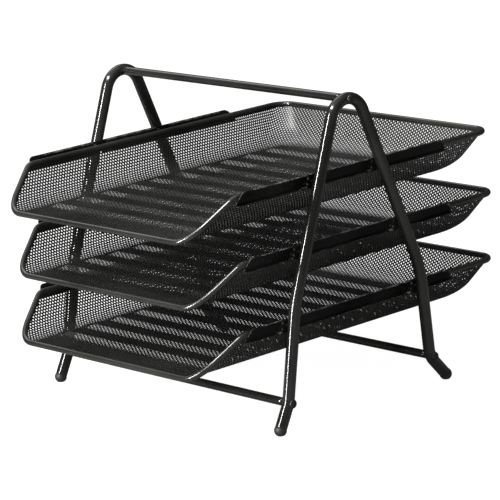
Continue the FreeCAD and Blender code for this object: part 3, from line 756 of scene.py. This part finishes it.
def close_sheet(top, under, quads, tris):
    """Upper faces, matching lower faces and hole walls, as one closed mesh."""
    edges = np.concatenate([quads[:, [0, 1]], quads[:, [1, 2]], quads[:, [2, 3]],
                            quads[:, [3, 0]], tris[:, [0, 1]], tris[:, [1, 2]], tris[:, [2, 0]]])
    ends = np.sort(edges, axis=1)
    _, which, uses = np.unique(ends[:, 0] * 10_000_000 + ends[:, 1],
                               return_inverse=True, return_counts=True)
    border = edges[uses[which] == 1]
    shift = len(top)
    walls = np.stack([border[:, 1], border[:, 0], border[:, 0] + shift, border[:, 1] + shift],
                     axis=1)
    quads = np.concatenate([quads, quads[:, ::-1] + shift, walls])
    tris = np.concatenate([tris, tris[:, ::-1] + shift])
    used, new = np.unique(np.concatenate([quads.ravel(), tris.ravel()]), return_inverse=True)
    return (np.concatenate([top, under])[used],
            new[:quads.size].reshape(-1, 4), new[quads.size:].reshape(-1, 3))


def mesh_pans():
    v, top, under, quads, tris = lattice()
    quad_v, tri_v = v[quads].mean(axis=1), v[tris].mean(axis=1)
    pieces = []
    for tag, start, end in PIECES:
        piece = close_sheet(top, under, quads[(quad_v >= start) & (quad_v < end)],
                            tris[(tri_v >= start) & (tri_v < end)])
        pieces.append((tag, *piece))
    for tier in TIERS:
        for tag, verts, piece_quads, piece_tris in pieces:
            obj = bulk_object(f"{tier}_tray_{tag}_mesh", verts + tray_origin(tier),
                              piece_quads, piece_tris)
            dress(obj, "mesh", tier + "_tray", tier + "_tray_mesh_pan")


mesh_pans()


# ------------------------------------------------------------------ rims
def rim_line():
    """The wire's loop: front middle, up the right side, round the back, down the left."""
    half = [(x, 0.0, 0.0) for x in np.linspace(0, FLOOR_HALF, 18)]
    for i in range(1, 15):
        angle = WALL_ANGLE * i / 14
        z = WALL_BEND_R * (1 - math.cos(angle))
        half.append((FLOOR_HALF + WALL_BEND_R * math.sin(angle), FRONT_SLOPE * z, z))
    bend_end = np.array(half[-1])
    shoulder = np.array([RIM_HALF, FRONT_SLOPE * RIM_TALL, RIM_TALL])
    turn = corner_arc(bend_end, shoulder, shoulder + (0.0, 1.0, 0.0), RIM_BEND_R, 8)
    half += [bend_end + (turn[0] - bend_end) * share for share in np.linspace(0, 1, 6)[1:-1]]
    half += turn
    side_start, side_end = turn[-1][1], RIM_LENGTH - RIM_CORNER_R
    for share in np.linspace(0, 1, 40)[1:]:
        half.append((RIM_HALF, side_start + (side_end - side_start) * share, RIM_TALL))
    for i in range(1, 13):
        angle = math.pi / 2 * i / 12
        half.append((RIM_HALF - RIM_CORNER_R + RIM_CORNER_R * math.cos(angle),
                     side_end + RIM_CORNER_R * math.sin(angle), RIM_TALL))
    for x in np.linspace(RIM_HALF - RIM_CORNER_R, 0, 20)[1:]:
        half.append((x, RIM_LENGTH, RIM_TALL))
    return np.array([tuple(p) for p in half] + [(-x, y, z) for x, y, z in reversed(half[1:-1])])


rim_path = rim_line()
for tier in TIERS:
    wire = sweep(tier + "_tray_rim_wire", rim_path + tray_origin(tier), RIM_WIRE_R,
                 segments=28, closed=True)
    dress(wire, "rim", tier + "_tray", tier + "_tray_rim")


# ------------------------------------------------------------------ side plates
# Each plate is a leaning panel with an outward lip below and a slotted pad at each stud
PANEL_TOP_X, PANEL_TOP_Z = 137.3, 37.1
PANEL_LOW_X, PANEL_LOW_Z = 132.21, 25.7
TOP_FRONT_Y, TOP_REAR_Y = 46.2, 285.5
LOW_FRONT_Y, LOW_REAR_Y = 41.2, 293.5
LIP_WIDTH, LIP_BEND_R = 1.9, 0.7
PLATE_SKIN = 0.8
PLATE_BEVEL = 0.16
PAD_HALF, PAD_FLARE_R, PAD_EDGE = 8.0, 5.0, 1.1
PAD_CORE = PAD_HALF - 0.6  # half width before the pad's edge begins
END_REACH = 20.0  # length over which the slanted ends fade into the panel
STUD_R = 2.75
SLOT_HALF = 1.7
STUD_Z = box_mm("top_tray_hook_studs")[0][2] + STUD_R - tray_origin("top")[2]
SLOT_TOP = STUD_Z + 1.6


def plate_rows():
    """Rows from the top edge down and out over the lip: panel x, panel z, pad x, pad z."""
    bend_z = PANEL_LOW_Z + LIP_BEND_R
    heights = {PANEL_TOP_Z, PANEL_TOP_Z - 1.0, SLOT_TOP,
               *np.linspace(PANEL_TOP_Z - 2.0, bend_z, 11)}
    rows = []
    for z in sorted(heights, reverse=True):
        share = (PANEL_TOP_Z - z) / (PANEL_TOP_Z - PANEL_LOW_Z)
        x = PANEL_TOP_X + (PANEL_LOW_X - PANEL_TOP_X) * share
        rows.append((x, z, PANEL_TOP_X, z))
    bend_x, bend_z = rows[-1][:2]
    for i in range(1, 5):
        angle = math.pi / 2 * i / 4
        z = bend_z - LIP_BEND_R * math.sin(angle)
        rows.append((bend_x + LIP_BEND_R * (1 - math.cos(angle)), z, PANEL_TOP_X, z))
    lip_x, lip_z = rows[-1][:2]
    for i in (1, 2):
        x = lip_x + (PANEL_LOW_X + LIP_WIDTH - lip_x) * i / 2
        rows.append((x, lip_z, PANEL_TOP_X, lip_z - 0.15 * i))
    return rows


def plate_stations(stud_ys):
    """Stations along y, packed closer around each pad and slot."""
    stations = set(np.round(np.linspace(LOW_FRONT_Y, LOW_REAR_Y, 64), 3))
    offsets = [*np.linspace(SLOT_HALF, PAD_HALF - 1.0, 4),
               *np.linspace(PAD_CORE, PAD_HALF + 7.5, 17)]
    for stud_y in stud_ys:
        stations = {y for y in stations if abs(y - stud_y) > PAD_HALF + 8.5}
        for offset in offsets:
            stations.add(round(stud_y - offset, 3))
            stations.add(round(stud_y + offset, 3))
    return sorted(stations)


def pad_share(y, z, stud_ys):
    """1 on a pad, 0 on the leaning panel; pads flare towards the lip."""
    height = z - (PANEL_LOW_Z + 0.2)
    flare = 0.0
    if height < PAD_FLARE_R:
        square = PAD_FLARE_R ** 2 - (PAD_FLARE_R - height) ** 2
        flare = PAD_FLARE_R - math.sqrt(max(0.0, square))
    share = 0.0
    for stud_y in stud_ys:
        past = abs(y - stud_y) - (PAD_CORE + flare)
        share = max(share, smoothstep(1.0 - min(1.0, max(0.0, past / PAD_EDGE))))
    return share


def end_shift(y, z):
    """Moves a station's y so the ends slant and their top corners round off."""
    drop = PANEL_TOP_Z - z
    share = min(max(drop / (PANEL_TOP_Z - PANEL_LOW_Z), 0.0), 1.0)
    front = TOP_FRONT_Y + (LOW_FRONT_Y - TOP_FRONT_Y) * share
    rear = TOP_REAR_Y + (LOW_REAR_Y - TOP_REAR_Y) * share
    front += 2.2 * max(0.0, 1 - drop / 1.6) ** 2
    rear -= 3.0 * max(0.0, 1 - drop / 2.2) ** 2
    front_weight = max(0.0, 1 - (y - LOW_FRONT_Y) / END_REACH)
    rear_weight = max(0.0, 1 - (LOW_REAR_Y - y) / END_REACH)
    return y + front_weight * (front - LOW_FRONT_Y) - rear_weight * (LOW_REAR_Y - rear)


def clean_plate(obj, side):
    """Drops loose points and turns the faces outwards."""
    edit = bmesh.new()
    edit.from_mesh(obj.data)
    loose = [vert for vert in edit.verts if not vert.link_faces]
    bmesh.ops.delete(edit, geom=loose, context="VERTS")
    bmesh.ops.recalc_face_normals(edit, faces=edit.faces)
    if sum(face.normal.x for face in edit.faces) * side < 0:
        bmesh.ops.reverse_faces(edit, faces=edit.faces)
    edit.to_mesh(obj.data)
    edit.free()


def side_plate(tier, side, side_name):
    origin = tray_origin(tier)
    low, high = box_mm(tier + "_tray_hook_studs")
    stud_ys = (low[1] + STUD_R - origin[1], high[1] - STUD_R - origin[1])
    rows, stations = plate_rows(), plate_stations(stud_ys)
    verts, faces = [], []
    for station in stations:
        for x, z, pad_x, pad_z in rows:
            y = end_shift(station, z)
            share = pad_share(y, z, stud_ys)
            verts.append((side * (x + (pad_x - x) * share), y, z + (pad_z - z) * share))
    for s in range(len(stations) - 1):
        middle_y = (stations[s] + stations[s + 1]) / 2
        in_slot = any(abs(middle_y - stud_y) < SLOT_HALF for stud_y in stud_ys)
        for i in range(len(rows) - 1):
            if in_slot and (rows[i][1] + rows[i + 1][1]) / 2 < SLOT_TOP:
                continue
            here = s * len(rows) + i
            there = here + len(rows)
            faces.append((here, here + 1, there + 1, there))
    plate = new_object(f"{tier}_tray_{side_name}_hook_plate", np.array(verts) + origin, faces)
    clean_plate(plate, side)
    solid = plate.modifiers.new("solidify", "SOLIDIFY")
    solid.thickness = PLATE_SKIN * MM
    solid.offset = -1.0
    bevel = plate.modifiers.new("bevel", "BEVEL")
    bevel.width = PLATE_BEVEL * MM
    bevel.segments = 2
    bevel.limit_method = "ANGLE"
    bevel.angle_limit = math.radians(50)
    apply_modifiers(plate)
    plate.data.polygons.foreach_set("use_smooth", [True] * len(plate.data.polygons))
    dress(plate, "plate", tier + "_tray", f"{tier}_tray_{side_name}_side_plate")


for tier in TIERS:
    for side, side_name in SIDES:
        side_plate(tier, side, side_name)


# ------------------------------------------------------------------ studio, in metres
def floor_material():
    """Pale to the camera; an even darker grey to other rays, so black metal stays black."""
    s = Surface("studio_floor")
    rays = s.node("ShaderNodeLightPath")
    grain = s.remap(s.noise(scale=1.2, detail=2.0), over=(0.3, 0.7), to=(0.0, 1.0))
    s.set("Base Color", s.mix(grain, grey(0.20), grey(0.22)))
    s.set("Roughness", 0.9)
    s.set("Specular IOR Level", 0.0)
    s.set("Emission Color", grey(1.0))
    s.set("Emission Strength", 0.96)
    dark = s.node("ShaderNodeBsdfDiffuse")
    dark.inputs["Color"].default_value = grey(0.16)
    switch = s.node("ShaderNodeMixShader")
    s.feed(switch.inputs[0], rays.outputs["Is Camera Ray"])
    s.feed(switch.inputs[1], dark.outputs[0])
    s.feed(switch.inputs[2], s.shader.outputs[0])
    s.feed(s.output.inputs[0], switch.outputs[0])
    return s.material


def backdrop(flat_radius=4.5, cove_radius=2.0, wall_top=5.0, segments=72):
    """Level round floor that curves up into a wall, far from the stand."""
    profile = [(0.6, 0.0), (1.5, 0.0), (3.0, 0.0), (flat_radius, 0.0)]
    for i in range(1, 13):
        angle = math.pi / 2 * i / 12
        profile.append((flat_radius + cove_radius * math.sin(angle),
                        cove_radius * (1 - math.cos(angle))))
    profile.append((flat_radius + cove_radius, wall_top))
    verts = [(0, 0, 0)]
    for radius, z in profile:
        for j in range(segments):
            angle = 2 * math.pi * j / segments
            verts.append((radius * math.cos(angle), radius * math.sin(angle), z))
    faces = [(0, 1 + j, 1 + (j + 1) % segments) for j in range(segments)]
    for i in range(len(profile) - 1):
        here = 1 + i * segments
        there = here + segments
        for j in range(segments):
            k = (j + 1) % segments
            faces.append((here + j, there + j, there + k, here + k))
    obj = new_object("studio_floor", np.array(verts) / MM, faces)
    obj.data.materials.append(floor_material())


# Room brightness from straight down (0) to straight up (1)
ROOM_LOW, ROOM_HIGH = (0.45, 0.03), (1.0, 0.18)
ROOM_BETWEEN = ((0.55, 0.04), (0.66, 0.11), (0.80, 0.13))


def studio_world(scene):
    """White to the camera; other rays see a dim room with two soft glows."""
    world = bpy.data.worlds.new("studio_world")
    scene.world = world
    g = Graph(world, "ShaderNodeOutputWorld")
    white = g.node("ShaderNodeBackground")
    white.inputs["Color"].default_value = grey(1.0)
    white.inputs["Strength"].default_value = 1.0
    room = g.node("ShaderNodeBackground")
    room.inputs["Strength"].default_value = 1.0
    direction = g.node("ShaderNodeTexCoord").outputs["Generated"]
    split = g.node("ShaderNodeSeparateXYZ")
    g.feed(split.inputs[0], direction)
    ramp = g.node("ShaderNodeValToRGB")
    g.feed(ramp.inputs["Fac"], g.remap(split.outputs["Z"], over=(-1.0, 1.0), to=(0.0, 1.0)))
    stops = ramp.color_ramp.elements
    for stop, (position, level) in zip((stops[0], stops[1]), (ROOM_LOW, ROOM_HIGH)):
        stop.position = position
        stop.color = grey(level)
    for position, level in ROOM_BETWEEN:
        stops.new(position).color = grey(level)

    def glow(towards, over, strength):
        facing = g.node("ShaderNodeVectorMath", operation="DOT_PRODUCT")
        facing.inputs[1].default_value = towards
        g.feed(facing.inputs[0], direction)
        return g.remap(facing.outputs["Value"], over=over, to=(0.0, strength),
                       interpolation="SMOOTHSTEP")

    front_right = glow(towards=(0.83, -0.55, -0.05), over=(0.55, 0.98), strength=0.8)
    high_left = glow(towards=(-0.745, 0.245, 0.62), over=(0.84, 0.96), strength=1.7)
    glows = g.math("ADD", front_right, high_left)
    total = g.node("ShaderNodeMixRGB", blend_type="ADD")
    total.inputs[0].default_value = 1.0
    g.feed(total.inputs[1], ramp.outputs["Color"])
    g.feed(total.inputs[2], glows)
    g.feed(room.inputs["Color"], total.outputs["Color"])
    rays = g.node("ShaderNodeLightPath")
    switch = g.node("ShaderNodeMixShader")
    g.feed(switch.inputs[0], rays.outputs["Is Camera Ray"])
    g.feed(switch.inputs[1], room.outputs[0])
    g.feed(switch.inputs[2], white.outputs[0])
    g.feed(g.output.inputs[0], switch.outputs[0])


def area_light(name, location, width, height, watts, target=(0, 0, 0.15)):
    light = bpy.data.lights.new(name, "AREA")
    light.shape = "RECTANGLE"
    light.size = width
    light.size_y = height
    light.energy = watts
    obj = link_object(name, light)
    obj.location = location
    obj.rotation_mode = "QUATERNION"
    obj.rotation_quaternion = (Vector(target) - Vector(location)).to_track_quat("-Z", "Y")
    return obj


def lights():
    area_light("overhead_soft", location=(0.1, -0.4, 2.3), target=(0, 0, 0.1),
               width=2.2, height=2.2, watts=6)
    area_light("front_strip", location=(-0.22, -2.0, 0.72), width=0.14, height=1.6, watts=80)
    area_light("high_front_strip", location=(-0.12, -1.0, 1.75),
               width=1.3, height=0.26, watts=42)
    fill = area_light("side_fill", location=(2.3, -1.5, 0.35), width=1.0, height=0.7, watts=48.0)
    fill.visible_glossy = False


def camera(scene):
    """Long lens, three-quarter view from the front right, a little above."""
    right = (0.68124, 0.72914, -0.06537)
    up = (-0.13175, 0.20995, 0.96880)
    backward = (0.72011, -0.65137, 0.23908)
    location = (1.8953, -1.7597, 0.7420)
    lens = bpy.data.cameras.new("view_camera")
    lens.sensor_width = 36.0
    lens.lens = 36.0 * 6.0
    lens.shift_x = 0.0711
    lens.shift_y = 0.0318
    lens.clip_start = 0.1
    lens.clip_end = 50.0
    obj = link_object("view_camera", lens)
    turn = Matrix((right, up, backward)).transposed().to_4x4()
    obj.matrix_world = Matrix.Translation(location) @ turn
    scene.camera = obj


backdrop()
scene = bpy.context.scene
scene.view_settings.view_transform = "Standard"
scene.view_settings.look = "None"
studio_world(scene)
lights()
camera(scene)
